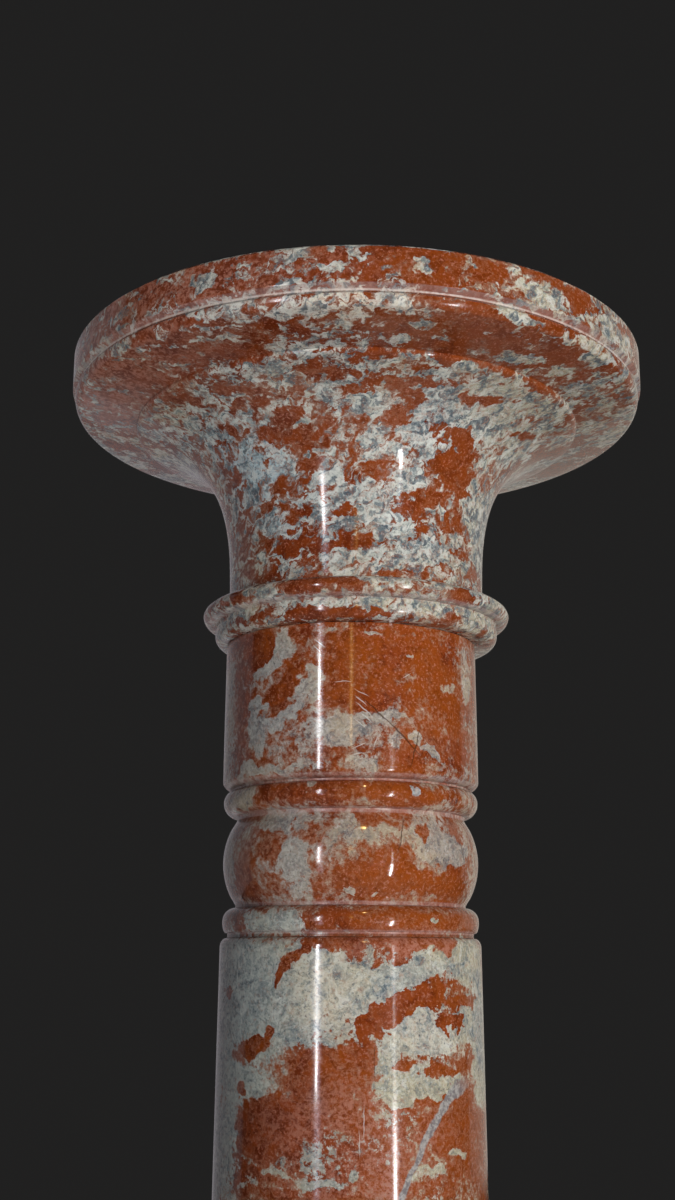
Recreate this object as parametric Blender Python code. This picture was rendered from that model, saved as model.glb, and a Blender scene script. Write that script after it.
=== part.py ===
"""Turned marble pedestal column: a base, a tapering shaft with rings and a drum, and a flared capital.

Metres, +Z up. The shaft's axis is the Z axis and the base stands on Z = 0.
Each block is one outline of (radius, height) points, listed from its underside up, and turned about its axis.
"""
import math

import bmesh
import bpy

# Turning
turning_steps = 44
curve_steps = 4
long_curve_steps = 8
sharp_angle = math.radians(40)
joint_gap = 0.0003

# Base: a round foot, a flare up to a neck, and one roll under the shaft
foot_radius = 0.150
foot_edge = 0.0015
foot_rim_height = 0.030
foot_shoulder_radius = 0.1445
foot_shoulder_height = 0.006
foot_lip_radius = 0.116
foot_slope_height = 0.006
foot_lip_height = 0.003
foot_lip_edge = 0.0015
base_neck_radius = 0.0730
base_flare_height = 0.064
base_flare_neck_pull = 0.040
base_flare_lip_pull = 0.034
base_neck_height = 0.008
base_roll_crown_radius = 0.0860
base_roll_height = 0.018
base_roll_root_radius = 0.0800

# Shaft: band and cove at the foot, and the plain taper
shaft_band_radius = 0.0725
shaft_band_height = 0.012
shaft_cove_height = 0.010
shaft_low_radius = 0.0687
shaft_high_radius = 0.06375
shaft_plain_height = 0.5906
shaft_shoulder_height = 0.0044

# Shaft: lower ring, bead and upper ring, with the grooves between them
lower_ring_groove_radius = 0.0602
lower_ring_groove_height = 0.0022
lower_ring_root_radius = 0.0609
lower_ring_crown_radius = 0.06275
lower_ring_below_crown = 0.0056
lower_ring_above_crown = 0.0064
bead_groove_radius = 0.0566
bead_low_groove_height = 0.0013
bead_crown_radius = 0.06295
bead_height = 0.0406
bead_high_groove_height = 0.0018
upper_ring_crown_radius = 0.0632
upper_ring_below_crown = 0.0070
upper_ring_above_crown = 0.0056
upper_ring_groove_radius = 0.0588
upper_ring_groove_height = 0.0010

# Shaft: drum under the capital
drum_arris_height = 0.0042
drum_low_radius = 0.0638
drum_high_radius = 0.0634
drum_height = 0.0687

# Capital: two rolls, the neck, the trumpet flare with its lip
capital_offset = 0.0026
low_roll_root_radius = 0.0668
low_roll_crown_radius = 0.0721
low_roll_below_crown = 0.0049
low_roll_above_crown = 0.0050
high_roll_root_radius = 0.0722
high_roll_crown_radius = 0.0783
high_roll_below_crown = 0.0053
high_roll_above_crown = 0.0052
neck_fillet_radius = 0.0672
neck_fillet_height = 0.0016
neck_radius = 0.0652
neck_height = 0.0080
flare_height = 0.0830
flare_neck_pull = 0.052
flare_lip_pull = 0.038
lip_radius = 0.1160
lip_slope = math.radians(17)
lip_edge = 0.0015
lip_height = 0.0030

# Capital: the round plate, from the soffit to the flat top
soffit_height = 0.0058
ovolo_start_radius = 0.1430
ovolo_radius = 0.1481
ovolo_height = 0.0055
quirk_radius = 0.1468
quirk_turn_height = 0.0012
quirk_height = 0.0013
rim_radius = 0.1495
rim_chamfer_height = 0.0020
rim_height = 0.0170
rim_edge = 0.0012

# Mean colour of the polished stone, its red and its pale clouds taken together
stone_color = (0.270, 0.085, 0.045, 1.0)
stone_roughness = 0.16


class Outline:
    """Outline of a turned block, drawn upward from its underside as (radius, height) points."""

    def __init__(self, radius):
        self.points = [(radius, 0.0)]

    def line(self, radius, rise):
        """Straight run to a radius, rising by the given height."""
        height = self.points[-1][1] + rise
        self.points.append((radius, height))

    def swell(self, radius, rise, steps=curve_steps):
        """Quarter ellipse that leaves level and arrives upright."""
        start_radius, start_height = self.points[-1]
        for step in range(1, steps + 1):
            turn = math.pi / 2 * step / steps
            across = start_radius + (radius - start_radius) * math.sin(turn)
            self.points.append((across, start_height + rise * (1 - math.cos(turn))))

    def close(self, radius, rise, steps=curve_steps):
        """Quarter ellipse that leaves upright and arrives level."""
        start_radius, start_height = self.points[-1]
        for step in range(1, steps + 1):
            turn = math.pi / 2 * step / steps
            across = start_radius + (radius - start_radius) * (1 - math.cos(turn))
            self.points.append((across, start_height + rise * math.sin(turn)))

    def bow(self, crown_radius, rise, steps=long_curve_steps):
        """Circular bow back to the same radius, its crown halfway up."""
        chord_radius, start_height = self.points[-1]
        depth = crown_radius - chord_radius
        bow_radius = (rise * rise / 4 + depth * depth) / (2 * depth)
        half_turn = math.asin(rise / 2 / bow_radius)
        for step in range(1, steps + 1):
            turn = half_turn * (2 * step / steps - 1)
            across = crown_radius - bow_radius * (1 - math.cos(turn))
            self.points.append((across, start_height + rise / 2 + bow_radius * math.sin(turn)))

    def sweep(self, radius, rise, leave, arrive, steps=long_curve_steps):
        """Smooth sweep to a radius; leave and arrive are the pulls (radius, height) at its two ends."""
        start_radius, start_height = self.points[-1]
        end_height = start_height + rise
        radii = (start_radius, start_radius + leave[0], radius - arrive[0], radius)
        heights = (start_height, start_height + leave[1], end_height - arrive[1], end_height)
        for step in range(1, steps + 1):
            share = step / steps
            weights = [math.comb(3, k) * share ** k * (1 - share) ** (3 - k) for k in range(4)]
            across = sum(weight * value for weight, value in zip(weights, radii))
            self.points.append((across, sum(weight * value for weight, value in zip(weights, heights))))

    def top(self):
        """Height reached so far."""
        return self.points[-1][1]


def base_outline():
    """Round foot, lip, flare and roll: the capital's forms turned over and made plainer."""
    outline = Outline(foot_radius - foot_edge)
    outline.line(foot_radius, foot_edge)
    outline.line(foot_radius, foot_rim_height)
    outline.close(foot_shoulder_radius, foot_shoulder_height)
    outline.line(foot_lip_radius, foot_slope_height)
    outline.line(foot_lip_radius, foot_lip_height)
    outline.line(foot_lip_radius - foot_lip_edge, foot_lip_edge)
    inward = (-base_flare_lip_pull * math.cos(lip_slope), base_flare_lip_pull * math.sin(lip_slope))
    outline.sweep(base_neck_radius, base_flare_height, inward, (0.0, base_flare_neck_pull))
    outline.line(base_neck_radius, base_neck_height)
    outline.line(base_roll_root_radius, 0.0)
    outline.swell(base_roll_crown_radius, base_roll_height / 2)
    outline.close(base_roll_root_radius, base_roll_height / 2)
    return outline


def shaft_outline():
    """Plain tapering shaft, then ring, bead, ring and drum."""
    outline = Outline(shaft_band_radius)
    outline.line(shaft_band_radius, shaft_band_height)
    outline.sweep(shaft_low_radius, shaft_cove_height, (shaft_low_radius - shaft_band_radius, 0.0),
                  (0.0, shaft_cove_height / 2), curve_steps)
    outline.line(shaft_high_radius, shaft_plain_height)
    outline.close(lower_ring_groove_radius, shaft_shoulder_height)
    outline.line(lower_ring_groove_radius, lower_ring_groove_height)
    outline.line(lower_ring_root_radius, 0.0)
    outline.swell(lower_ring_crown_radius, lower_ring_below_crown)
    outline.close(bead_groove_radius, lower_ring_above_crown)
    outline.line(bead_groove_radius, bead_low_groove_height)
    outline.bow(bead_crown_radius, bead_height)
    outline.line(bead_groove_radius, bead_high_groove_height)
    outline.swell(upper_ring_crown_radius, upper_ring_below_crown)
    outline.close(upper_ring_groove_radius, upper_ring_above_crown)
    outline.line(upper_ring_groove_radius, upper_ring_groove_height)
    outline.swell(drum_low_radius, drum_arris_height)
    outline.line(drum_high_radius, drum_height)
    return outline


def capital_outline():
    """Two rolls, neck, trumpet flare, lip, soffit, ovolo, quirk and rim."""
    outline = Outline(low_roll_root_radius)
    outline.swell(low_roll_crown_radius, low_roll_below_crown)
    outline.line(low_roll_crown_radius, low_roll_above_crown)
    outline.line(high_roll_root_radius, 0.0)
    outline.swell(high_roll_crown_radius, high_roll_below_crown)
    outline.close(neck_fillet_radius, high_roll_above_crown)
    outline.line(neck_radius, neck_fillet_height)
    outline.line(neck_radius, neck_height)
    outward = (flare_lip_pull * math.cos(lip_slope), flare_lip_pull * math.sin(lip_slope))
    outline.sweep(lip_radius - lip_edge, flare_height, (0.0, flare_neck_pull), outward)
    outline.line(lip_radius, lip_edge)
    outline.line(lip_radius, lip_height - lip_edge)
    outline.line(ovolo_start_radius, soffit_height)
    outline.swell(ovolo_radius, ovolo_height)
    outline.line(quirk_radius, quirk_turn_height)
    outline.line(quirk_radius, quirk_height)
    outline.line(rim_radius, rim_chamfer_height)
    outline.line(rim_radius, rim_height)
    outline.line(rim_radius - rim_edge, rim_edge)
    return outline


def stone_material(name):
    """Polished stone in the mean colour of the marble."""
    material = bpy.data.materials.new(name)
    material.use_nodes = True
    shader = material.node_tree.nodes["Principled BSDF"]
    shader.inputs["Base Color"].default_value = stone_color
    shader.inputs["Roughness"].default_value = stone_roughness
    shader.inputs["Metallic"].default_value = 0.0
    return material


def turned_block(name, outline):
    """One closed block: the outline turned about the axis, with a flat underside and a flat top."""
    mesh = bpy.data.meshes.new(name)
    shape = bmesh.new()
    corners = [shape.verts.new((radius, 0.0, height)) for radius, height in outline.points]
    edges = [shape.edges.new(pair) for pair in zip(corners, corners[1:])]
    bmesh.ops.spin(shape, geom=corners + edges, cent=(0, 0, 0), axis=(0, 0, 1),
                   angle=2 * math.pi, steps=turning_steps, use_duplicate=False)
    bmesh.ops.remove_doubles(shape, verts=shape.verts, dist=0.00001)
    rims = [edge for edge in shape.edges if edge.is_boundary]
    bmesh.ops.holes_fill(shape, edges=rims, sides=0)
    bmesh.ops.recalc_face_normals(shape, faces=shape.faces)
    shape.to_mesh(mesh)
    shape.free()
    mesh.shade_smooth()
    mesh.set_sharp_from_angle(angle=sharp_angle)
    mesh.materials.append(stone_material(name + "_stone"))
    block = bpy.data.objects.new(name, mesh)
    bpy.context.collection.objects.link(block)
    return block


def build():
    """Base, shaft and capital, stacked with a fine joint between them."""
    for old in list(bpy.data.objects):
        bpy.data.objects.remove(old)
    base = base_outline()
    shaft = shaft_outline()
    capital = capital_outline()
    shaft_bed = base.top() + joint_gap
    capital_bed = shaft_bed + shaft.top() + joint_gap
    turned_block("base", base)
    turned_block("shaft", shaft).location = (0.0, 0.0, shaft_bed)
    turned_block("capital", capital).location = (capital_offset, 0.0, capital_bed)


build()
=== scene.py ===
"""Looks of the turned marble column: fine turned surfaces, the clouded red stone and a plain studio."""
import math

import bmesh
import bpy
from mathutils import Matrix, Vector


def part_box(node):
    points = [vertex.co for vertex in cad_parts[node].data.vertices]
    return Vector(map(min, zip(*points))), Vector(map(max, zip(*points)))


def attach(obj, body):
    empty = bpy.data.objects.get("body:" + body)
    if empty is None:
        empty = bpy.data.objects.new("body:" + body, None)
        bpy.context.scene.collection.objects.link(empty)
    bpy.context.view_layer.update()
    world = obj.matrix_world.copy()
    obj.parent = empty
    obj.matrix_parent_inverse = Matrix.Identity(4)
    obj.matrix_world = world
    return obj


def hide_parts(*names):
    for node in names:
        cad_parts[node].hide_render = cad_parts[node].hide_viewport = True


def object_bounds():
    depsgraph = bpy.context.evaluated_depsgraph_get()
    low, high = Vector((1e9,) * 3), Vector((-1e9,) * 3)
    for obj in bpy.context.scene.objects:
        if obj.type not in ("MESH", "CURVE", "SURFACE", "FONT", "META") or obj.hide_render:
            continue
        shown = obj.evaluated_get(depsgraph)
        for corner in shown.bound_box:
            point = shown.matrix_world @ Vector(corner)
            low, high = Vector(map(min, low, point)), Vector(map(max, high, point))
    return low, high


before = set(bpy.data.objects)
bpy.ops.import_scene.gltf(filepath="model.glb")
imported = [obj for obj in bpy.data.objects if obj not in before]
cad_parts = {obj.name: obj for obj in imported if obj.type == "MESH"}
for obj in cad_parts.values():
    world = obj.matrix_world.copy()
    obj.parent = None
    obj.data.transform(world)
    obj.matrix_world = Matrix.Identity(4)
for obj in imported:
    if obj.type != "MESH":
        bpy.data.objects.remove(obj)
cad_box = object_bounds()

# Turning of the fine surfaces
turning_steps = 240
run_steps = 4
corner_turn = math.radians(50)
small_corner_turn = math.radians(24)
corner_over_neighbours = 1.8
arris_ease = 0.0005
arris_steps = 3
sharp_angle = math.radians(30)

# Camera: where the photograph was taken from, measured from the shaft's axis and the flat top
camera_distance = 0.7241
camera_side = -0.0063
camera_below_top = 0.3057
camera_pitch = math.radians(14.1)
camera_roll = math.radians(-0.2)
focal_length_px = 1439.5
photo_height_px = 1200
sensor_size_mm = 36.0

# Where the capital's face is unrolled along its width too: above the collar, from the neck's radius out
collar_top_mm = 921.0
neck_radius_mm = 65.2
metre_in_mm = 1000.0

# Edge between pale and red stone: half its width where crisp and where veiled, where the veiled stone
# begins, how pale that gets, and how strong the pink threads are in crisp, veiled and other stone
sharp_edge = 0.026
soft_edge = 0.060
veiled_from = 0.768
veil_fade = 0.002
veiled_share = 0.76
crisp_threads = 0.55
veiled_threads = 0.10
other_threads = 0.30

# Softness of drawn ovals, lines and tints as a share of their size, and the step that leans are taken to
patch_soft = 0.30
line_soft = 0.5
tint_soft = 0.7
lean_step = 15

# Broad clouds where nothing is drawn: their contrast, and how they take over at the back, below and above
broad_spread = 8.0
back_turn = 90
back_turn_fade = 10
lower_fade = 0.012
upper_fade = 0.0003
band_fade = 0.0003

# Sizes of the finer noises in metres, and how far to each side of the axis the painted shade on the left
# turns into the painted warm sheen on the right
frayed_blot = 0.0045
grain_blot = 0.0028
mottle_blot = 0.0065
speckle_blot = 0.0013
tint_blot = 0.032
painted_light_reach = 0.055

# Polish: size of smears and ripples, roughness where clean and where smeared, of pale stone and in dull bands
smear_blot = 0.020
ripple_blot = 0.030
clean_roughness = 0.07
smeared_roughness = 0.15
pale_roughness = 0.02
dull_roughness = 0.15
marble_ior = 1.50
ripple_strength = 0.30
ripple_depth = 0.0006

# The straight grey vein on the shaft: height, slopes to the side and to the back, thickness, middle, reach
vein_height = 0.4719
vein_slopes = (2.92, -1.815)
vein_half = 0.0009
vein_middle = (0.0305, -0.0574, 0.662)
vein_reach = (0.033, 0.047)
vein_waver = 0.0022
waver_blot = 0.006

# Patches drawn on the shaft: turn in degrees, height in mm, half width, half height, lean, paleness
shaft_patches = [
    (-35, 728, 30, 26, 0, 1.0), (-60, 740, 20, 15, 0, 1.0), (-50, 691, 14, 9, 0, 1.0),
    (-74, 695, 15, 55, 0, 1.0), (-10, 728, 16, 21, 0, 1.0), (8, 734, 13, 12, 0, 1.0),
    (30, 743, 30, 7, 12, 1.0), (26, 712, 19, 9, 0, 1.0), (57, 715, 12, 9, 0, 1.0), (62, 745, 16, 9, 0, 0.7),
    (26, 689, 13, 7, 0, 1.0), (14, 697, 5, 12, 20, 1.0), (42, 691, 12, 5, 15, 1.0),
    (74, 712, 12, 32, 0, 1.0), (-12, 652, 9, 2.5, 5, 0.8), (-35, 658, 12, 2, -10, 0.6),
    (2, 656, 3, 3, 0, 0.8), (48, 665, 8, 2, 20, 0.7), (32, 655, 8, 3, 0, 0.6), (-40, 649, 12, 2, 0, 0.4),
    (20, 753, 42, 4, 0, -0.6), (16, 746, 12, 4, 0, -0.3), (-26, 744, 12, 3.2, 60, -1.6),
    (-43, 708, 9, 4.5, 5, -1.4), (-37, 715, 3, 4, 0, -1.0), (-62, 729, 5, 4, 0, -0.6),
    (10, 721, 10, 3.5, 14, -1.4), (28, 727, 12, 5, 14, -1.4), (37, 734, 4, 5, 0, -1.2),
    (54, 728, 12, 3, 5, -1.2), (45, 717, 10, 3, -20, -1.2), (7, 715, 6, 3, 0, -1.2),
    (-1, 704, 9, 2, 0, -1.2), (42, 698, 14, 2, 12, -1.2), (21, 699, 5, 2, 0, -1.2),
    (57, 698, 4, 2, 20, -1.0), (36, 684, 8, 2, 18, -1.2), (21, 682, 4, 1.2, 0, -1.0),
    (52, 717, 3, 1.5, 0, -1.0), (-9, 684, 21, 21, 0, -0.75), (-38, 675, 16, 12, 0, -1.1),
    (-51, 687, 4, 4, -50, -1.0), (50, 673, 13, 10, 0, -1.0), (36, 672, 11, 8, 0, -1.0),
    (-5, 664, 24, 9, 0, -0.18), (-63, 668, 9, 26, 0, 0.8), (-31, 890, 6, 6, 15, 1.6),
    (-33, 884, 5, 4, 45, 1.4), (-40, 880, 8, 2.5, 35, 1.2), (-19, 876, 2.5, 5, 0, 1.3),
    (-23, 866, 7, 6, 20, 0.8), (-16, 868, 3, 7, 0, 1.0), (-43, 862, 4, 6, 0, 1.2), (-45, 847, 5, 9, 0, 1.1),
    (-30, 856, 14, 3, 8, 0.8), (-8, 851, 12, 5, 0, 0.7), (10, 856, 12, 2.2, 0, 0.7),
    (-5, 844, 5, 5, 0, 0.7), (27, 847, 2.2, 4, 10, 1.2), (35, 840, 6, 2.2, -8, 1.2),
    (18, 845, 4, 3, -30, 0.5), (-45, 831, 12, 2.5, 0, 0.9), (-30, 830, 16, 2, 0, 0.7),
    # The pale patch at turn 62, height 872 is a painted sheen at the drum's right edge.
    (5, 831, 6, 1.8, 0, 0.7), (62, 872, 4, 5, 0, 0.7), (8, 896, 5, 2, 0, 0.6), (-10, 896, 5, 1.5, 0, 0.5),
    (-33, 868, 7, 6, 20, -1.2), (-30, 842, 10, 4, 0, -0.2), (15, 878, 34, 17, 0, -1.1),
    (-45, 888, 9, 11, 0, -1.5), (45, 850, 14, 16, 0, -0.9), (0, 866, 14, 7, 0, -1.1),
    (15, 838, 14, 5, 0, -0.5), (-12, 838, 12, 5, 0, -0.4), (-75, 862, 12, 28, 0, 0.5),
    (26, 884, 2, 1, 0, 0.7), (46, 873, 3, 2, 0, 0.4), (0, 820, 48, 5, 0, -1.0), (-58, 820, 12, 5, 0, 0.9),
    (-16, 822, 3, 2, 20, 0.8), (28, 821, 2.4, 1.6, 0, 1.3), (-30, 808, 17, 4, 0, 0.7),
    (-27, 788, 8, 12, 0, 0.7), (20, 800, 18, 5, -5, 0.6), (44, 797, 20, 7, -8, 0.8),
    (-22, 775, 7, 4, 0, 0.7), (-4, 777, 1.5, 2, 60, 1.0), (8, 776, 2, 1.5, 40, 1.0),
    (-4, 804, 5, 2, 0, 0.4), (-52, 785, 7, 12, 0, -0.8), (-38, 795, 6, 5, 0, -0.8),
    (8, 807, 10, 3, 0, -0.7), (32, 804, 3, 4, 0, -0.9), (14, 781, 26, 7, 0, -1.1),
    (46, 781, 16, 5, -8, -1.0), (-14, 790, 5, 14, 0, -0.4), (-75, 790, 12, 16, 0, 0.6),
    (25, 763, 48, 5, 0, -1.1), (-38, 763, 17, 5, 0, 0.7), (-58, 763, 6, 5, 0, -0.6),
    (36, 763, 1.6, 1.4, 0, 1.3),
]

# Dark hairline cracks and pale scratches on the shaft: turn, height, half length, half thickness, lean
shaft_cracks = [
    (11, 857, 10, 0.35, -42), (22, 846, 11, 0.40, -41), (28, 842, 9, 0.35, 80), (22, 801, 8, 0.30, 76),
    (57, 795, 6, 0.35, 100), (9, 702, 7, 0.15, 84),
]
shaft_scratches = [
    (4, 862, 3, 0.25, -42), (5, 858, 4, 0.25, -50), (6, 854, 3, 0.25, -45), (3, 852, 3, 0.20, -48),
    (4, 866, 3, 0.20, -35), (-14, 890, 3, 0.25, -40), (-15, 887, 2, 0.20, -45), (10, 843, 3, 0.20, 80),
    (3, 841, 3, 0.20, 30), (2, 837, 2, 0.20, 20), (-4, 871, 3, 0.20, 5), (24, 875, 2, 0.20, 30),
    (5, 676, 6, 0.20, 88), (3, 668, 5, 0.20, 95),
]

# Patches drawn on the capital: turn, height plus width, half sizes, lean, paleness
capital_patches = [
    (-60, 1086, 45, 24, 0, -0.6), (28, 1090, 34, 26, 0, -0.9), (76, 1085, 24, 28, 0, 0.25),
    (0, 1125, 75, 10, 0, -0.5), (50, 1035, 28, 26, 0, 1.2), (-55, 1035, 22, 22, 0, 0.3),
    (8, 1125, 18, 9, 0, -0.9), (24, 1037, 14, 14, 0, 0.7), (-20, 1101, 14, 9, -15, 0.4),
    (2, 1102, 11, 10, 0, 0.6), (-36, 1131, 1, 1, -39, 1.0), (-28, 1125, 3, 3, -33, 0.4),
    (-44, 1129, 3, 2, -40, 0.4), (-11, 1131, 2, 3, -17, 1.0), (-5, 1123, 2, 2, -7, 1.0),
    (-10, 1116, 4, 2, -16, 1.0), (-18, 1107, 2, 2, -23, 1.0), (-14, 1100, 3, 4, -28, 1.0),
    (-7, 1103, 4, 8, -15, 1.0), (-3, 1089, 2, 6, -7, 1.0), (-18, 1091, 5, 5, -32, -1.0),
    (-10, 1084, 4, 4, -19, -1.0), (-32, 1090, 4, 2, -51, 1.0), (-27, 1087, 3, 2, -41, 1.0),
    (-27, 1100, 4, 2, -44, -1.0), (-34, 1107, 6, 3, -38, -1.0), (-32, 1075, 7, 4, -47, -1.0),
    (-12, 1069, 3, 5, -22, 1.0), (-10, 1062, 3, 2, -12, 1.0), (-5, 1062, 4, 3, -8, 1.0),
    (-26, 1060, 3, 3, -37, 1.0), (-19, 1056, 3, 5, -27, 1.0), (-32, 1052, 9, 1, -39, 1.0),
    (-11, 1052, 5, 5, -18, -1.0), (-5, 1039, 5, 2, -7, 1.0), (-43, 1078, 4, 1, -57, 1.0),
    (-50, 1096, 7, 1, -64, 0.4), (-87, 1083, 16, 1, -78, 1.0), (-68, 1087, 13, 2, -71, -1.0),
    (-54, 1078, 10, 3, -64, -1.0), (-34, 1044, 14, 3, -38, -1.0), (-22, 1042, 4, 2, -29, 1.0),
    (-22, 1030, 1, 4, -15, 1.0), (-67, 1052, 14, 1, -58, 1.0), (-52, 1037, 7, 2, -47, 1.0),
    (-69, 1037, 10, 1, -54, 1.0), (-56, 1018, 12, 3, -39, 1.0), (-54, 1055, 8, 2, -55, -1.0),
    (-33, 1031, 8, 5, -32, -1.0), (-44, 1003, 5, 6, -26, 1.0), (-36, 993, 7, 2, -21, 1.0),
    (-46, 986, 9, 7, -23, 1.0), (-33, 983, 4, 6, -17, 1.0), (-24, 978, 3, 4, -13, 1.0),
    (-49, 972, 7, 7, -19, 1.0), (-39, 952, 6, 7, -16, 1.0), (-23, 1018, 5, 9, -19, -1.0),
    (-32, 1007, 6, 5, -24, -1.0), (-20, 999, 6, 8, -14, -1.0), (-33, 972, 6, 4, -15, -1.0),
    (-27, 957, 7, 2, -11, -1.0), (-11, 972, 6, 6, -5, 1.0), (-18, 953, 5, 3, -8, 1.0),
    (-8, 949, 4, 4, -3, 1.0), (-34, 939, 11, 5, -12, -1.0), (-21, 941, 6, 5, -8, -1.0),
    (-36, 934, 5, 1, -10, 1.0), (-32, 928, 9, 2, -9, 1.0), (-7, 928, 4, 2, -3, 1.0),
    (11, 1124, 1, 5, 13, 1.0), (19, 1129, 1, 2, 22, 1.0), (0, 1130, 2, 2, 0, 1.0), (6, 1127, 4, 6, 5, -1.0),
    (15, 1129, 4, 5, 18, -1.0), (23, 1127, 3, 6, 26, -1.0), (29, 1128, 2, 4, 29, 1.0),
    (34, 1124, 6, 6, 34, 1.1), (33, 1117, 6, 3, 39, 1.0), (44, 1127, 5, 5, 42, -1.0),
    (52, 1127, 8, 5, 43, 0.7), (57, 1119, 11, 6, 48, 0.6), (3, 1103, 3, 6, 0, 1.0), (6, 1106, 3, 3, 6, 1.0),
    (6, 1095, 3, 6, 12, -1.0), (12, 1090, 3, 3, 23, 1.0), (18, 1104, 4, 6, 26, -1.0),
    (24, 1106, 3, 7, 30, -1.0), (28, 1108, 3, 5, 30, 1.0), (30, 1100, 7, 4, 48, -1.0),
    (32, 1106, 3, 2, 40, 1.0), (38, 1107, 5, 6, 36, -1.0), (9, 1074, 4, 4, 13, 1.0),
    (16, 1077, 2, 2, 24, 1.0), (16, 1086, 7, 4, 30, -1.0), (29, 1086, 8, 4, 44, -1.0),
    (45, 1106, 6, 4, 44, 1.0), (58, 1102, 7, 2, 60, -1.0), (53, 1101, 7, 4, 59, 1.0),
    (3, 1062, 6, 4, 5, -1.0), (11, 1059, 5, 5, 12, 1.0), (17, 1061, 3, 4, 24, 1.0),
    (28, 1061, 4, 3, 35, 1.0), (22, 1065, 4, 4, 20, -1.0), (37, 1077, 10, 4, 50, 1.0),
    (39, 1058, 8, 4, 43, 1.0), (48, 1077, 10, 3, 58, 1.0), (71, 1095, 9, 1, 72, -1.0),
    (51, 1064, 7, 3, 48, -1.0), (16, 1043, 14, 4, 19, -1.0), (0, 1033, 7, 4, 0, -1.0),
    (4, 1023, 7, 9, 2, 1.0), (27, 1031, 5, 5, 28, 1.0), (35, 1019, 6, 6, 30, 1.0),
    (16, 1031, 5, 7, 14, -1.0), (14, 1015, 5, 7, 10, -1.0), (36, 1037, 11, 3, 35, -1.0),
    (16, 1008, 7, 9, 11, 1.0), (24, 1000, 5, 10, 13, 1.0), (6, 997, 5, 10, 3, 1.0), (8, 978, 6, 6, 5, -1.0),
    (16, 991, 4, 5, 12, 1.0), (39, 1009, 5, 12, 25, -1.0), (37, 987, 8, 9, 19, -1.0),
    (46, 987, 7, 10, 23, -1.0), (22, 974, 7, 6, 11, 1.0), (48, 1014, 5, 11, 33, 1.0),
    (66, 1029, 9, 3, 48, -1.0), (63, 1058, 9, 3, 55, 1.0), (76, 1018, 36, 2, 50, 1.0),
    (23, 960, 8, 8, 8, -1.0), (35, 966, 7, 5, 13, -1.0), (44, 956, 8, 8, 14, -1.0),
    (49, 972, 5, 4, 20, -1.0), (53, 969, 6, 3, 22, 1.0), (2, 957, 8, 8, 2, 1.0), (-4, 955, 3, 5, 0, -1.0),
    (38, 960, 3, 4, 14, 1.0), (20, 941, 14, 5, 6, 1.0), (2, 932, 13, 4, 0, 1.0), (32, 935, 13, 5, 11, 1.0),
    (72, 961, 16, 22, 0, 1.8), (55, 977, 6, 5, 24, 1.0), (0, 939, 6, 4, -2, -1.0),
    (-12, 915, 13, 4, 0, -1.2), (-48, 915, 5, 3, 0, -1.0), (40, 914, 5, 3, 0, -1.0),
    (-40, 916, 5, 3, 0, 1.0), (20, 917, 22, 3, 0, 0.9), (65, 916, 20, 5, 0, 0.9), (-50, 908, 10, 3, 0, 1.0),
    (-30, 908, 10, 2, 0, -0.2), (-12, 908, 10, 2, 0, 0.9), (-10, 903, 22, 2, 0, -1.3),
    (-45, 904, 8, 2, 0, -0.8), (22, 907, 22, 4, 0, 0.8), (65, 907, 22, 6, 0, 0.9),
]


def seen(red, green, blue):
    """Colour as the eye reads it, 0 to 255, turned into linear light."""
    shares = [(part / 255) ** 2.2 for part in (red, green, blue)]
    return (*shares, 1.0)


# Stone colours
deep_red = seen(100, 42, 19)
rust_red = seen(141, 67, 31)
orange_red = seen(158, 81, 22)
rose_pink = seen(182, 122, 104)
rust_pale = seen(158, 104, 80)
blush = seen(164, 112, 88)
grey_white = seen(172, 172, 160)
cream = seen(188, 180, 152)
cold_white = seen(176, 190, 192)
blue_grey = seen(104, 116, 122)
slate = seen(62, 70, 82)
white = seen(216, 216, 210)
milk_white = seen(226, 216, 196)
ice_blue = seen(172, 196, 206)
umber = seen(70, 44, 32)
# Mauve of a painted sheen in the quirks and grooves, and the white of a paler line in the capital's quirk
painted_sheen_mauve = seen(186, 160, 158)
pale_quirk_white = seen(214, 200, 192)
lilac_grey = seen(176, 173, 168)
slate_lilac = seen(124, 120, 122)

# Quirks and undercuts where the polish is dull, with painted shade in umber, a painted mauve sheen and a
# paler line in the quirk: lower and upper height, share, colour
shaft_dull_and_painted_light_bands = [
    (0.7549, 0.7566, 0.45, umber), (0.7566, 0.7582, 0.35, painted_sheen_mauve), (0.7692, 0.7712, 0.35, painted_sheen_mauve),
    (0.8112, 0.8138, 0.35, painted_sheen_mauve), (0.8256, 0.8290, 0.30, painted_sheen_mauve),
]
capital_dull_and_painted_light_bands = [
    (0.9095, 0.9112, 0.35, painted_sheen_mauve), (1.0280, 1.0289, 0.6, umber), (1.0290, 1.0299, 0.80, pale_quirk_white),
    (1.0299, 1.0318, 0.30, painted_sheen_mauve),
]

# Where the pale stone is tinted: turn, height, half sizes, lean, share, colour
shaft_tints = [
    (-62, 715, 34, 60, 0, 0.8, cold_white), (-38, 862, 18, 36, 0, 0.9, cold_white),
    (-34, 790, 18, 22, 0, 0.7, cold_white), (28, 821, 4, 3, 0, 1.0, cold_white),
    (-8, 730, 14, 16, 0, 0.5, milk_white), (36, 712, 16, 14, 0, 0.5, milk_white),
    (-10, 700, 18, 8, 0, 0.5, blue_grey),
]
capital_tints = [
    (0, 985, 75, 60, 0, 0.5, cold_white), (-44, 985, 18, 42, 15, 1.0, ice_blue),
    (20, 1000, 24, 30, 0, 0.4, white), (-22, 1105, 24, 16, -15, 0.7, white),
    (3, 1103, 14, 16, 0, 1.0, milk_white), (55, 1110, 16, 30, 0, 0.6, cream),
    (60, 960, 20, 60, 0, 0.3, cream),
]

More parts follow.
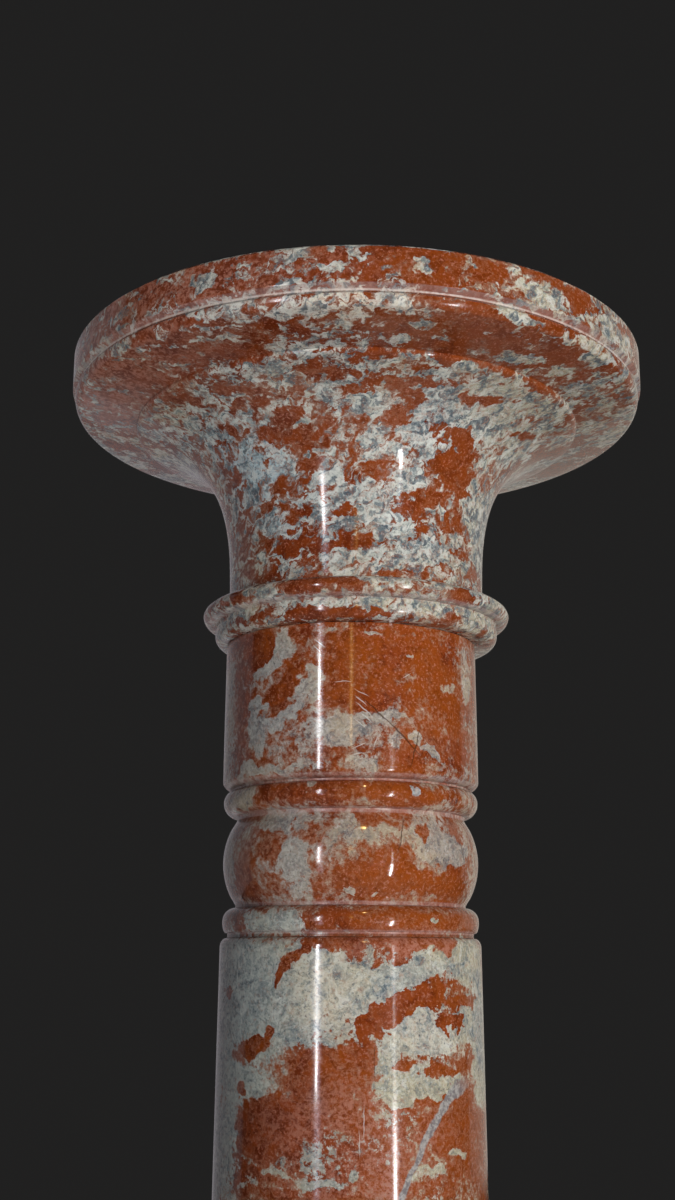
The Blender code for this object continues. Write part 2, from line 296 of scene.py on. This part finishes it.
# Where the red stone is flecked with pink: turn, height, half sizes, lean, share, colour
shaft_blushes = [
    (0, 666, 34, 26, 0, 0.75, rose_pink), (32, 750, 30, 7, 0, 0.75, rose_pink),
    (-25, 845, 24, 14, 0, 0.75, blush), (20, 848, 26, 9, 0, 0.60, blush),
    (-30, 795, 26, 18, 0, 0.75, blush), (35, 803, 40, 8, 0, 0.70, blush),
]
capital_blushes = [
    (-42, 1123, 34, 15, 0, 0.85, rose_pink), (-62, 1090, 26, 24, 0, 0.80, rose_pink),
    (-10, 1045, 40, 10, 0, 0.45, blush), (72, 1080, 16, 26, 0, 0.50, rust_pale),
]

# Colours of the lamps and of what stands around
white_light = (1.0, 1.0, 1.0)
violet_light = (0.85, 0.80, 1.0)
amber_light = (1.0, 0.70, 0.25)
gold_light = (1.0, 0.62, 0.22)
floor_dark = (0.70, 0.69, 0.67, 1)
floor_light = (0.76, 0.75, 0.73, 1)
floor_roughness = 0.7
floor_size = 8.0
surroundings_color = (1.0, 0.98, 0.97, 1.0)
surroundings_strength = 0.015

# Lamps seen in the gloss alone: name, turn, distance, height, height aimed at, width, tallness, power, colour
gloss_lamps = [
    ("left_strip", -28, 1.6, 0.93, 0.93, 0.036, 0.64, 3.6, white_light),
    ("left_glow", -27, 1.62, 0.80, 0.80, 0.12, 1.2, 1.3, violet_light),
    ("right_strip", 35.5, 1.5, 0.36, 0.36, 0.04, 0.44, 3.4, white_light),
    ("right_line", 35.5, 1.52, 0.60, 0.60, 0.020, 0.9, 1.0, white_light),
    ("warm_lamp", 14, 1.6, 2.4, 0.86, 0.07, 0.07, 3.0, amber_light),
    ("warm_line", 0, 1.9, 1.22, 1.22, 0.030, 0.30, 0.40, gold_light),
    ("left_panel", -138, 2.2, 1.2, 1.2, 3.4, 2.6, 7.3, (0.95, 0.88, 0.95)),
    ("right_panel", 145, 2.2, 1.45, 1.45, 2.5, 2.2, 6.9, (1.0, 0.92, 0.82)),
]

# Panels lying low behind the column, also in the gloss alone: name, inner edges, outer edge, strength, colour
low_panels = [
    ("left_low_panel", (-0.30, -0.50, -0.70), -1.50, 0.58, (0.92, 0.96, 1.0)),
    ("right_low_panel", (0.55, 0.75, 0.95), 1.75, 0.38, (1.0, 0.93, 0.84)),
]
low_panel_depth = 1.8
low_panel_middle = 2.4
low_panel_height = 0.05

# Lamps left out of the gloss: name, turn, distance, height, aim, width, tallness, power, spread in degrees
mid_column = (0.0, 0.0, 0.85)
fill_lamps = [
    ("front_fill", 32, 2.4, 1.0, mid_column, 0.9, 0.9, 6.9, 100),
    ("left_low_fill", -112, 2.0, 0.30, (-0.10, 0.0, 1.06), 0.3, 0.3, 0.12, 16),
    ("low_fill", 22, 2.4, 0.42, (0.0, 0.0, 1.0), 0.7, 0.4, 2.7, 50),
    ("back_fill", 176, 2.6, 1.4, mid_column, 2.0, 1.6, 9.0, 75),
]
overhead_point = (0.1, 0.4, 2.8)
overhead_size = 1.0
overhead_power = 1.7
overhead_spread = 50


class Shade:
    """A socket of a recipe that takes part in arithmetic."""

    def __init__(self, recipe, socket):
        self.recipe = recipe
        self.socket = socket

    def __add__(self, other):
        return self.recipe.math("ADD", self, other)

    __radd__ = __add__

    def __sub__(self, other):
        return self.recipe.math("SUBTRACT", self, other)

    def __rsub__(self, other):
        return self.recipe.math("SUBTRACT", other, self)

    def __mul__(self, other):
        return self.recipe.math("MULTIPLY", self, other)

    __rmul__ = __mul__


class Recipe:
    """The nodes of one material, added a step at a time."""

    def __init__(self, name):
        self.material = bpy.data.materials.new(name)
        self.material.use_nodes = True
        self.tree = self.material.node_tree
        self.shader = self.tree.nodes["Principled BSDF"]
        self.place = self.node("ShaderNodeTexCoord", output="Object")

    def node(self, kind, settings=None, sockets=None, output=0):
        """A node of any kind: its settings first, then the values or links of its sockets."""
        node = self.tree.nodes.new(kind)
        for name, value in (settings or {}).items():
            setattr(node, name, value)
        for key, value in (sockets or {}).items():
            self.fill(node.inputs[key], value)
        return Shade(self, node.outputs[output])

    def fill(self, socket, value):
        """Sets a socket to a value, or links a shade to it."""
        if isinstance(value, Shade):
            self.tree.links.new(value.socket, socket)
        else:
            socket.default_value = value

    def math(self, operation, first, second=0.0):
        return self.node("ShaderNodeMath", {"operation": operation}, {0: first, 1: second})

    def part(self, place, axis):
        """One coordinate of a place."""
        return self.node("ShaderNodeSeparateXYZ", None, {0: place}, axis)

    def noise(self, place, grain, detail=6.0, roughness=0.6, output="Fac", swirl=0.0):
        """Cloudy noise with blots about one grain across."""
        return self.node("ShaderNodeTexNoise", None, {
            "Vector": place, "Scale": 1 / grain, "Detail": detail, "Roughness": roughness,
            "Distortion": swirl}, output)

    def step(self, value, low, high, start=0.0, end=1.0):
        """Smooth step from start to end as the value goes from low to high."""
        return self.node("ShaderNodeMapRange", {"interpolation_type": "SMOOTHSTEP"}, {
            "Value": value, "From Min": low, "From Max": high, "To Min": start, "To Max": end})

    def mix(self, share, first, second):
        """Colour mix: the first colour where the share is 0, the second where it is 1."""
        return self.node("ShaderNodeMix", {"data_type": "RGBA"}, {0: share, 6: first, 7: second}, 2)

    def blend(self, share, first, second):
        """The same for plain values."""
        return self.node("ShaderNodeMix", {"data_type": "FLOAT"}, {0: share, 2: first, 3: second}, 0)

    def shifted(self, place, push, reach):
        """A place pushed about by a colour noise, up to half the reach each way."""
        span = (reach, reach, reach)
        pushed = self.node("ShaderNodeVectorMath", {"operation": "MULTIPLY_ADD"}, {
            0: push, 1: span, 2: place})
        half = (reach / 2, reach / 2, reach / 2)
        return self.node("ShaderNodeVectorMath", {"operation": "SUBTRACT"}, {0: pushed, 1: half})

    def bedded(self, place, stretch, rise):
        """A place measured so that blots lie drawn out sideways and climb to the right."""
        across = self.part(place, 0)
        return self.node("ShaderNodeCombineXYZ", None, {
            0: across * (1 / stretch), 1: self.part(place, 1) * (1 / stretch),
            2: self.part(place, 2) - across * rise})

    def distance(self, place, point):
        return self.node("ShaderNodeVectorMath", {"operation": "DISTANCE"}, {0: place, 1: point}, "Value")


class Face:
    """The turned face unrolled: turn in degrees across, height in mm up."""

    def __init__(self, recipe, place, axis_x, widening):
        self.recipe = recipe
        across = recipe.part(place, 0) - axis_x
        ahead = recipe.part(place, 1) * -1.0
        self.turn = recipe.math("ARCTAN2", across, ahead) * math.degrees(1)
        self.run = recipe.part(place, 2) * metre_in_mm
        if widening:
            radius = recipe.math("SQRT", across * across + ahead * ahead) * metre_in_mm
            above = recipe.math("GREATER_THAN", self.run, collar_top_mm)
            self.run = self.run + above * (radius - neck_radius_mm)
        self.leaned = {}

    def along(self, lean):
        """The unrolled face turned so that a leaning oval lies level."""
        if lean not in self.leaned:
            cosine = math.cos(math.radians(lean))
            sine = math.sin(math.radians(lean))
            self.leaned[lean] = self.recipe.node("ShaderNodeCombineXYZ", None, {
                0: self.turn * cosine + self.run * sine, 1: self.run * cosine - self.turn * sine, 2: 0.0})
        return self.leaned[lean]

    def oval(self, turn, run, wide, tall, lean, soft):
        """1 inside an oval and 0 outside, with a soft edge; the lean is taken to the nearest step."""
        lean = lean_step * round(lean / lean_step)
        cosine = math.cos(math.radians(lean))
        sine = math.sin(math.radians(lean))
        middle = (turn * cosine + run * sine, run * cosine - turn * sine)
        local = self.recipe.node("ShaderNodeVectorMath", {"operation": "MULTIPLY_ADD"}, {
            0: self.along(lean), 1: (1 / wide, 1 / tall, 0.0),
            2: (-middle[0] / wide, -middle[1] / tall, 0.0)})
        reach = self.recipe.node("ShaderNodeVectorMath", {"operation": "LENGTH"}, {0: local}, "Value")
        return self.recipe.step(reach, 1 + soft, 1 - soft)


def paleness(face, patches, ground):
    """Drawn patches, large ones first, each laid over the ones before."""
    level = ground
    for *oval, pale in sorted(patches, key=lambda patch: -patch[2] * patch[3]):
        level = face.recipe.blend(face.oval(*oval, patch_soft), level, pale)
    return level


def tinted(face, color, spots, flecks=None):
    """A colour with soft tints laid over it, evenly or in flecks."""
    for *oval, share, tint in spots:
        here = face.oval(*oval, tint_soft) * share
        color = face.recipe.mix(here if flecks is None else here * flecks, color, tint)
    return color


def fine_lines(face, lines):
    """All the hairlines of one kind as a single share."""
    share = 0.0
    for line in lines:
        share = face.recipe.math("MAXIMUM", face.oval(*line, line_soft), share)
    return share


def grey_vein(recipe, place):
    """The straight vein: a thin slanting plane through the block, fading away from its middle."""
    wavy = recipe.shifted(place, recipe.noise(place, waver_blot, 3.0, 0.6, "Color"), vein_waver)
    slope_x, slope_y = vein_slopes
    level = (recipe.part(wavy, 2) - recipe.part(wavy, 0) * slope_x - recipe.part(wavy, 1) * slope_y
             - vein_height)
    off = recipe.math("ABSOLUTE", level * (1 / math.sqrt(slope_x ** 2 + slope_y ** 2 + 1)))
    near = recipe.step(recipe.distance(place, vein_middle), vein_reach[1], vein_reach[0])
    return recipe.step(off, vein_half * 1.25, vein_half * 0.75) * near


def band(recipe, height, low, high):
    """1 between two heights, with a short fade."""
    above = recipe.step(height, low - band_fade, low + band_fade)
    return above * recipe.step(height, high + band_fade, high - band_fade)


def axis_of(node):
    """Sideways place of a turned block's axis."""
    low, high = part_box(node)
    return (low.x + high.x) / 2


class Grains:
    """The noises that one marble is mixed from, broad clouds first and fine ones last."""

    def __init__(self, recipe, laid, blot, curl_blot, fineness, swirl):
        place = recipe.place
        self.cloud = recipe.noise(laid, blot, 9.0, fineness, swirl=swirl)
        self.curl = recipe.noise(laid, curl_blot, 6.0, fineness - 0.04, swirl=1.4)
        self.cell = recipe.noise(laid, curl_blot * 0.8, 3.0, 0.5, swirl=1.0)
        self.grain = recipe.noise(place, grain_blot, 5.0, 0.70)
        self.mottle = recipe.noise(laid, mottle_blot, 7.0, fineness + 0.02)
        self.speckle = recipe.noise(place, speckle_blot, 3.0, 0.65)
        self.tint = recipe.noise(place, tint_blot, 3.0, 0.55)
        self.thread = recipe.step(recipe.math("ABSOLUTE", self.mottle - 0.49), 0.030, 0.004)


def where_drawn(recipe, face, height, drawn_between):
    """1 on the front between the two heights, where patches are drawn, and 0 elsewhere."""
    low, high = drawn_between
    front = recipe.step(recipe.math("ABSOLUTE", face.turn), back_turn + back_turn_fade,
                        back_turn - back_turn_fade)
    above = recipe.step(height, low - lower_fade, low + lower_fade)
    return front * above * recipe.step(height, high + upper_fade, high - upper_fade)


def red_stone(recipe, grains, face, level, painted_light_side, crumble, threads, blushes):
    """Rust red with dark and orange clouds, pinker by the pale stone, with threads, flecks and specks;
    painted shade darkens it to the left and a painted warm sheen turns it more orange to the right.
    """
    mottle, tint, grain, speckle = grains.mottle, grains.tint, grains.grain, grains.speckle
    red = recipe.mix(recipe.step(mottle, 0.34, 0.56), deep_red, rust_red)
    orange_share = 0.55 - crumble * 0.35
    # Painted warm sheen: the orange clouds spread further towards the right.
    red = recipe.mix(recipe.step(tint + painted_light_side * 0.18, 0.50, 0.68) * orange_share, red, orange_red)
    # Painted shade: darker red towards the left.
    red = recipe.mix(recipe.step(mottle, 0.64, 0.40) * recipe.step(painted_light_side, 0.7, 0.0) * 0.75, red, deep_red)
    halo = recipe.step(level, -0.100, -0.010)
    red = recipe.mix(halo * recipe.step(tint, 0.38, 0.56) * 0.65, red, blush)
    red = recipe.mix(recipe.step(grain, 0.50, 0.66) * (0.45 - crumble * 0.2), red, blush)
    red = recipe.mix(crumble * 0.48, red, deep_red)
    red = recipe.mix(grains.thread * recipe.step(tint, 0.40, 0.56) * threads, red, blush)
    if blushes:
        flecks = recipe.step(grain * 0.6 + grains.curl * 0.4, 0.45, 0.56, 0.10, 1.0)
        red = tinted(face, red, blushes, flecks)
    red = recipe.mix(recipe.step(speckle, 0.54, 0.68) * 0.60, red, rose_pink)
    return recipe.mix(recipe.step(speckle, 0.44, 0.30) * 0.60, red, deep_red)


def pale_stone(recipe, grains, face, level, painted_light_side, crumble, tints):
    """Grey white and cream, clouded with blue grey, slate and white, and pinker by the red stone; the cream
    is partly a painted warm sheen, stronger to the right.
    """
    mottle, tint, grain, speckle = grains.mottle, grains.tint, grains.grain, grains.speckle
    # Cream clouds, spreading further towards the right as a painted warm sheen.
    light = recipe.mix(recipe.step(tint + painted_light_side * 0.10, 0.46, 0.64), grey_white, cream)
    light = tinted(face, light, tints)
    blue_share = recipe.step(tint, 0.58, 0.42, 0.35, 0.85)
    light = recipe.mix(recipe.step(mottle, 0.52, 0.36) * blue_share, light, blue_grey)
    light = recipe.mix(recipe.step(mottle, 0.40, 0.29) * 0.8, light, slate)
    light = recipe.mix(recipe.step(mottle, 0.53, 0.68) * 0.7, light, white)
    light = recipe.mix(recipe.step(grains.cell, 0.52, 0.43) * crumble, light, blue_grey)
    light = recipe.mix(recipe.step(grains.cell, 0.51, 0.62) * crumble * 0.8, light, white)
    light = recipe.mix(recipe.step(grains.cell, 0.43, 0.36) * crumble * 0.8, light, slate)
    light = recipe.mix(grains.thread * crumble * 0.5, light, rust_pale)
    light = recipe.mix(recipe.step(grain, 0.52, 0.70) * 0.45, light, blush)
    light = recipe.mix(recipe.step(grain, 0.46, 0.32) * 0.55, light, blue_grey)
    light = recipe.mix(recipe.step(speckle, 0.44, 0.28) * 0.7, light, slate)
    light = recipe.mix(recipe.step(speckle, 0.55, 0.68) * 0.5, light, white)
    rim = recipe.step(level, 0.070, 0.010)
    return recipe.mix(rim * recipe.step(tint, 0.44, 0.60) * 0.6, light, blush)


def polish(recipe, grains, pale, dull):
    """Glossy, faintly smeared and rippled surface."""
    smear = recipe.noise(recipe.place, smear_blot, 4.0, 0.6)
    roughness = (recipe.step(smear, 0.35, 0.70, clean_roughness, smeared_roughness)
                 + pale * pale_roughness + dull * dull_roughness)
    recipe.fill(recipe.shader.inputs["Roughness"], roughness)
    recipe.shader.inputs["IOR"].default_value = marble_ior
    ripple = recipe.noise(recipe.place, ripple_blot, 2.0, 0.4) * 0.5 + grains.grain * 0.02
    bump = recipe.node("ShaderNodeBump", None, {
        "Strength": ripple_strength, "Distance": ripple_depth, "Height": ripple})
    recipe.fill(recipe.shader.inputs["Normal"], bump)


def stone(name, axis_x, patches, ground, blot, weights, widening=False, tints=(), blushes=(), veiled=False,
          cracks=(), scratches=(), vein=False, dull_and_painted_light_bands=(), swirl=0.0, warp=0.9, ragged=0.0060,
          fineness=0.66, curl_blot=0.0042, crumble=0.0, stretch=1.0, rise=0.0, broad_blot=0.055,
          drawn_between=(0.0, 2.0)):
    """Polished clouded red marble. The ground is the paleness where nothing is drawn, the blot is the size
    of the clouds, and the weights are those of patches, clouds, curls and grain in what is pale or red."""
    recipe = Recipe(name)
    place = recipe.place
    bent = recipe.shifted(place, recipe.noise(place, blot * 0.7, 3.0, 0.55, "Color"), blot * warp)
    bent = recipe.shifted(bent, recipe.noise(place, frayed_blot, 4.0, 0.6, "Color"), ragged)
    laid = recipe.bedded(bent, stretch, rise) if stretch > 1.0 else bent
    grains = Grains(recipe, laid, blot, curl_blot, fineness, swirl)
    face = Face(recipe, bent, axis_x, widening)
    height = recipe.part(place, 2)
    drawn = (recipe.noise(bent, broad_blot, 4.0, 0.5) - 0.5) * broad_spread + ground
    if patches:
        here = where_drawn(recipe, face, height, drawn_between)
        drawn = recipe.blend(here, drawn, paleness(face, patches, ground))
    patch_weight, cloud_weight, curl_weight, grain_weight = weights
    level = (drawn * patch_weight + (grains.cloud - 0.5) * cloud_weight
             + (grains.curl - 0.5) * curl_weight + (grains.grain - 0.5) * grain_weight)
    # Painted light across the face: 0 on the left, where shade is painted, to 1 on the right, where a warm
    # sheen is painted.
    painted_light_side = recipe.step(recipe.part(place, 0), -painted_light_reach, painted_light_reach)
    if veiled:
        veil = recipe.step(height, veiled_from - veil_fade, veiled_from + veil_fade)
        edge = recipe.blend(veil, sharp_edge, soft_edge)
        most = recipe.blend(veil, 1.0, veiled_share)
        threads = recipe.blend(veil, crisp_threads, veiled_threads)
    else:
        edge = sharp_edge * (1.1 + crumble * 0.6)
        most = 1.0
        threads = other_threads
    pale = recipe.step(level, edge * -1.0, edge, 0.0, most)

    red = red_stone(recipe, grains, face, level, painted_light_side, crumble, threads, blushes)
    light = pale_stone(recipe, grains, face, level, painted_light_side, crumble, tints)
    color = recipe.mix(pale, red, light)
    border = recipe.step(recipe.math("ABSOLUTE", level + 0.012), 0.018, 0.0)
    color = recipe.mix(border * crumble * 0.45, color, umber)
    if vein:
        vein_color = recipe.mix(recipe.step(grains.grain, 0.42, 0.60), slate_lilac, lilac_grey)
        color = recipe.mix(grey_vein(recipe, place) * 0.95, color, vein_color)
    if cracks:
        wavy = recipe.shifted(place, recipe.noise(place, waver_blot, 3.0, 0.5, "Color"), vein_waver)
        wavy_face = Face(recipe, wavy, axis_x, widening)
        color = recipe.mix(fine_lines(wavy_face, cracks) * 0.75, color, umber)
        color = recipe.mix(fine_lines(wavy_face, scratches) * 0.55, color, white)
    dull = 0.0
    # Each band polishes duller and lays a colour over the stone: painted shade in umber, the painted mauve
    # sheen, and the paler quirk line.
    for low, high, share, band_color in dull_and_painted_light_bands:
        here = band(recipe, height, low, high)
        patchy = recipe.step(grains.grain, 0.34, 0.58, share * 0.5, share)
        color = recipe.mix(here * patchy, color, band_color)
        dull = recipe.math("MAXIMUM", here, dull)
    recipe.fill(recipe.shader.inputs["Base Color"], color)
    polish(recipe, grains, pale, dull)
    return recipe.material


def base_marble():
    """Marble of the foot, in broad clouds alone."""
    return stone("base_marble", 0.0, [], ground=-0.2, blot=0.030, weights=(0.15, 0.70, 0.0, 0.40))


def shaft_marble():
    """Marble of the shaft: large crisp patches below, veiled ones on the drum and rings, and one vein."""
    return stone("shaft_marble", axis_of("shaft"), shaft_patches, ground=-0.25, blot=0.024,
                 weights=(0.15, 0.66, 0.16, 0.52), veiled=True, tints=shaft_tints, blushes=shaft_blushes,
                 crumble=0.3, drawn_between=(0.640, 2.0), cracks=shaft_cracks, scratches=shaft_scratches,
                 vein=True, dull_and_painted_light_bands=shaft_dull_and_painted_light_bands)


def capital_marble():
    """Marble of the capital: finely broken and swirled, climbing a little to the right."""
    return stone("capital_marble", axis_of("capital"), capital_patches, ground=0.10, blot=0.0105,
                 weights=(0.100, 0.50, 0.58, 0.24), widening=True, tints=capital_tints,
                 blushes=capital_blushes, dull_and_painted_light_bands=capital_dull_and_painted_light_bands, swirl=0.7, warp=1.0,
                 ragged=0.0035, fineness=0.54, curl_blot=0.0055, crumble=0.75, stretch=1.35, rise=0.30,
                 broad_blot=0.034, drawn_between=(0.0, 1.0492))


def read_outline(node):
    """Axis and (radius, height) outline of a turned node, from its underside up."""
    low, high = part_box(node)
    axis = (low + high) / 2
    rings = set()
    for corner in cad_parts[node].data.vertices:
        radius = math.hypot(corner.co.x - axis.x, corner.co.y - axis.y)
        rings.add((round(corner.co.z, 5), round(radius, 5)))
    outline = []
    for height in sorted({height for height, radius in rings}):
        radii = sorted(radius for level, radius in rings if level == height)
        if outline and abs(radii[-1] - outline[-1][0]) < abs(radii[0] - outline[-1][0]):
            radii.reverse()
        outline += [(radius, height) for radius in radii]
    return axis, [Vector(point) for point in outline]


def turns(points):
    """Angle by which the outline turns at each point."""
    found = [0.0]
    for before, here, after in zip(points, points[1:], points[2:]):
        found.append((here - before).angle(after - here))
    return found + [0.0]


def corners(points):
    """Places where the outline has a true corner and not a step of a curve."""
    angles = turns(points)
    found = [0]
    for place in range(1, len(points) - 1):
        beside = max(angles[place - 1], angles[place + 1])
        alone = angles[place] > small_corner_turn and angles[place] > corner_over_neighbours * beside
        if angles[place] > corner_turn or alone:
            found.append(place)
    return found + [len(points) - 1]


def smooth_run(points, widest):
    """Finer points along one curved run of the outline, through the same points."""
    if len(points) < 4:
        return points
    padded = [points[0] * 2 - points[1]] + points + [points[-1] * 2 - points[-2]]
    fine = [points[0]]
    for before, start, end, after in zip(padded, padded[1:], padded[2:], padded[3:]):
        length = (end - start).length
        leave = (end - before).normalized() * length
        arrive = (after - start).normalized() * length
        for step in range(1, run_steps + 1):
            share = step / run_steps
            square = share * share
            cube = square * share
            point = (start * (2 * cube - 3 * square + 1) + leave * (cube - 2 * square + share)
                     + end * (3 * square - 2 * cube) + arrive * (cube - square))
            fine.append(Vector((min(point.x, widest), point.y)))
    return fine


def eased_corner(before, corner, after):
    """Small rounding in place of a corner."""
    back = before - corner
    ahead = after - corner
    start = corner + back.normalized() * min(arris_ease, back.length / 3)
    end = corner + ahead.normalized() * min(arris_ease, ahead.length / 3)
    points = []
    for step in range(arris_steps + 1):
        share = step / arris_steps
        points.append(start.lerp(corner, share).lerp(corner.lerp(end, share), share))
    return points


def fine_outline(points):
    """The outline with smooth curves and eased corners."""
    places = corners(points)
    widest = max(point.x for point in points)
    runs = [smooth_run(points[start:end + 1], widest) for start, end in zip(places, places[1:])]
    fine = [runs[0][0]]
    for run, following in zip(runs, runs[1:]):
        fine += run[1:-1]
        fine += eased_corner(run[-2], run[-1], following[1])
    return fine + runs[-1][1:]


def turned(name, node, material):
    """Fine turned surface in place of a node."""
    axis, outline = read_outline(node)
    shape = bmesh.new()
    points = fine_outline(outline)
    rings = [shape.verts.new((axis.x + point.x, axis.y, point.y)) for point in points]
    edges = [shape.edges.new(pair) for pair in zip(rings, rings[1:])]
    bmesh.ops.spin(shape, geom=rings + edges, cent=(axis.x, axis.y, 0.0), axis=(0, 0, 1),
                   angle=2 * math.pi, steps=turning_steps, use_duplicate=False)
    bmesh.ops.remove_doubles(shape, verts=shape.verts, dist=0.000005)
    rims = [edge for edge in shape.edges if edge.is_boundary]
    bmesh.ops.holes_fill(shape, edges=rims, sides=0)
    bmesh.ops.recalc_face_normals(shape, faces=shape.faces)
    mesh = bpy.data.meshes.new(name)
    shape.to_mesh(mesh)
    shape.free()
    mesh.shade_smooth()
    mesh.set_sharp_from_angle(angle=sharp_angle)
    mesh.materials.append(material)
    piece = bpy.data.objects.new(name, mesh)
    bpy.context.collection.objects.link(piece)
    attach(piece, "root")
    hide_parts(node)


def area_light(name, point, aim, width, tallness, power, color=white_light, gloss_only=True, spread=180):
    """Rectangular lamp turned towards a point, for the gloss only or for all but the gloss."""
    light = bpy.data.lights.new(name, "AREA")
    light.shape = "RECTANGLE"
    light.size = width
    light.size_y = tallness
    light.energy = power
    light.color = color
    light.spread = math.radians(spread)
    lamp = bpy.data.objects.new(name, light)
    lamp.location = point
    lamp.rotation_euler = (Vector(aim) - Vector(point)).to_track_quat("-Z", "Y").to_euler()
    lamp.visible_glossy = gloss_only
    lamp.visible_diffuse = not gloss_only
    lamp.visible_camera = False
    bpy.context.collection.objects.link(lamp)


def around(turn, distance, height):
    """Place of a lamp at a turn in degrees from the front, positive to the viewer's right."""
    angle = math.radians(turn)
    return (distance * math.sin(angle), -distance * math.cos(angle), height)


def stepped_panel(name, inner_edges, outer_edge, strength, color):
    """Low panel facing up, in overlapping steps so that its inner edge fades in the gloss."""
    for step, inner in enumerate(inner_edges):
        middle = (inner + outer_edge) / 2
        width = abs(outer_edge - inner)
        area_light(f"{name}_{step}", (middle, low_panel_middle, low_panel_height),
                   (middle, low_panel_middle, 1.0), width, low_panel_depth,
                   strength * width * low_panel_depth, color)


def pale_floor():
    """Plain pale floor under the column."""
    bpy.ops.mesh.primitive_plane_add(size=floor_size, location=(0.0, 0.0, 0.0))
    floor = bpy.context.object
    floor.name = "floor"
    recipe = Recipe("pale_floor")
    grain = recipe.noise(recipe.place, 0.05, 4.0, 0.6)
    recipe.fill(recipe.shader.inputs["Base Color"], recipe.mix(grain, floor_dark, floor_light))
    recipe.shader.inputs["Roughness"].default_value = floor_roughness
    floor.data.materials.append(recipe.material)


def surroundings():
    """Dim plain light from all round."""
    world = bpy.data.worlds.new("surroundings")
    world.use_nodes = True
    background = world.node_tree.nodes["Background"]
    background.inputs["Color"].default_value = surroundings_color
    background.inputs["Strength"].default_value = surroundings_strength
    bpy.context.scene.world = world


def studio():
    """Pale floor, dim surroundings, narrow lamps and panels for the gloss, and soft fill."""
    pale_floor()
    surroundings()
    for name, turn, distance, height, aim_height, width, tallness, power, color in gloss_lamps:
        aim = (0.0, 0.0, aim_height)
        area_light(name, around(turn, distance, height), aim, width, tallness, power, color)
    for panel in low_panels:
        stepped_panel(*panel)
    for name, turn, distance, height, aim, width, tallness, power, spread in fill_lamps:
        area_light(name, around(turn, distance, height), aim, width, tallness, power,
                   gloss_only=False, spread=spread)
    area_light("overhead", overhead_point, (0.0, 0.0, 0.0), overhead_size, overhead_size, overhead_power,
               gloss_only=False, spread=overhead_spread)


def camera():
    """Camera at the photograph's place, looking up a little."""
    top = cad_box[1][2]
    lens = bpy.data.cameras.new("camera")
    lens.sensor_width = sensor_size_mm
    lens.lens = focal_length_px / photo_height_px * sensor_size_mm
    body = bpy.data.objects.new("camera", lens)
    body.location = (camera_side, -camera_distance, top - camera_below_top)
    body.rotation_mode = "XYZ"
    body.rotation_euler = (math.radians(90) + camera_pitch, camera_roll, 0.0)
    bpy.context.collection.objects.link(body)
    bpy.context.scene.camera = body
    bpy.context.scene.view_settings.view_transform = "Standard"


camera()
turned("turned_base", "base", base_marble())
turned("turned_shaft", "shaft", shaft_marble())
turned("turned_capital", "capital", capital_marble())
studio()
